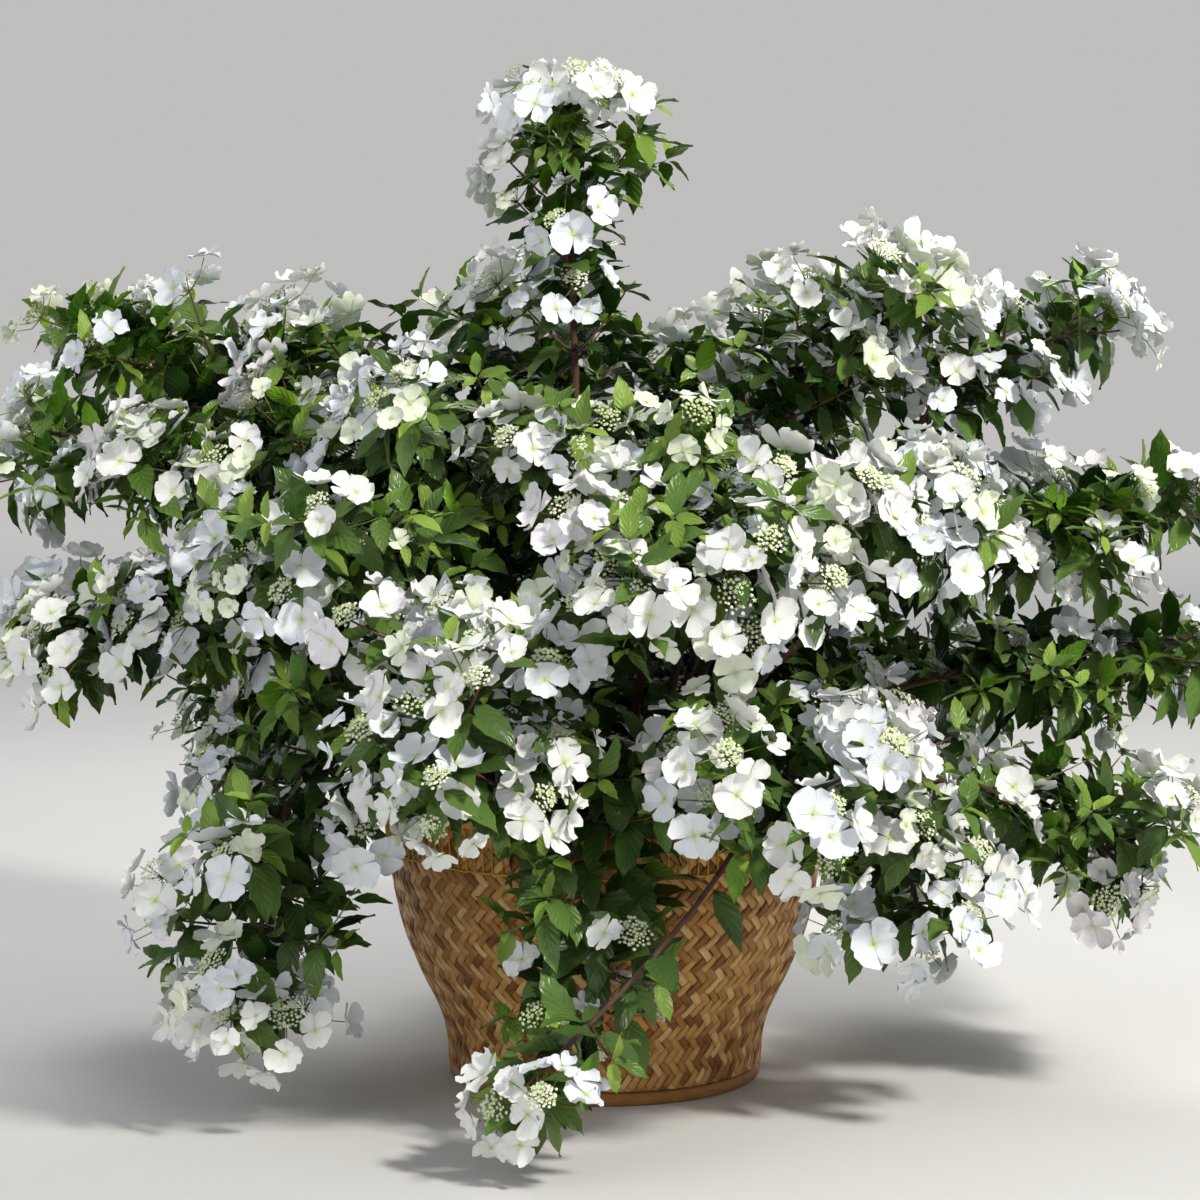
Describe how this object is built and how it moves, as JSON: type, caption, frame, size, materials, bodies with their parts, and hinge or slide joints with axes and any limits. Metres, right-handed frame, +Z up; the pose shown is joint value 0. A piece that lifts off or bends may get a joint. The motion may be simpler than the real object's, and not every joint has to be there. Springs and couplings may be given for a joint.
{
  "type": "potted hydrangea shrub",
  "caption": "Trailing hydrangea shrub with open lacecap flower heads on arching canes, growing in a round flared basket woven from bamboo strips.",
  "frame": {"origin": "middle of the basket's flat underside", "axes": "+Z up along the basket's axis, -Y towards the shrub's front, +X to the right seen from the front"},
  "size_m": [1.2256, 1.0055, 1.0112],
  "materials": {
    "bamboo": "split bamboo strips, stained and varnished",
    "bamboo_band": "yellow bamboo band",
    "soil": "moist potting compost",
    "bark": "smooth dark red-brown bark",
    "spray": "white flowers and green leaves"
  },
  "bodies": {
    "root": {"basket_foot": "bamboo", "basket_wall": "bamboo", "basket_rim": "bamboo_band", "soil": "soil", "cane_leader": "bark", "spray_leader": "spray", "cane_right_shoulder": "bark", "spray_right_shoulder": "spray", "cane_far_right_high": "bark", "spray_far_right_high": "spray", "cane_right_middle": "bark", "spray_right_middle": "spray", "cane_right_lower": "bark", "spray_right_lower": "spray", "cane_right_low": "bark", "spray_right_low": "spray", "cane_right_hanging": "bark", "spray_right_hanging": "spray", "cane_front_right_low": "bark", "spray_front_right_low": "spray", "cane_front_low": "bark", "spray_front_low": "spray", "cane_front_ground": "bark", "spray_front_ground": "spray", "cane_left_low": "bark", "spray_left_low": "spray", "cane_left_middle": "bark", "spray_left_middle": "spray", "cane_front_left": "bark", "spray_front_left": "spray", "cane_far_left": "bark", "spray_far_left": "spray", "cane_far_left_high": "bark", "spray_far_left_high": "spray", "cane_left_high": "bark", "spray_left_high": "spray", "cane_centre_high": "bark", "spray_centre_high": "spray", "cane_upper_left": "bark", "spray_upper_left": "spray", "cane_upper_front": "bark", "spray_upper_front": "spray", "cane_front_centre": "bark", "spray_front_centre": "spray", "cane_front_right": "bark", "spray_front_right": "spray", "cane_right_front_high": "bark", "spray_right_front_high": "spray", "cane_back_left_low": "bark", "spray_back_left_low": "spray", "cane_back_low": "bark", "spray_back_low": "spray", "cane_back_right_low": "bark", "spray_back_right_low": "spray", "cane_back_left": "bark", "spray_back_left": "spray", "cane_back_upper": "bark", "spray_back_upper": "spray", "cane_back_right": "bark", "spray_back_right": "spray"}
  },
  "joints": []
}
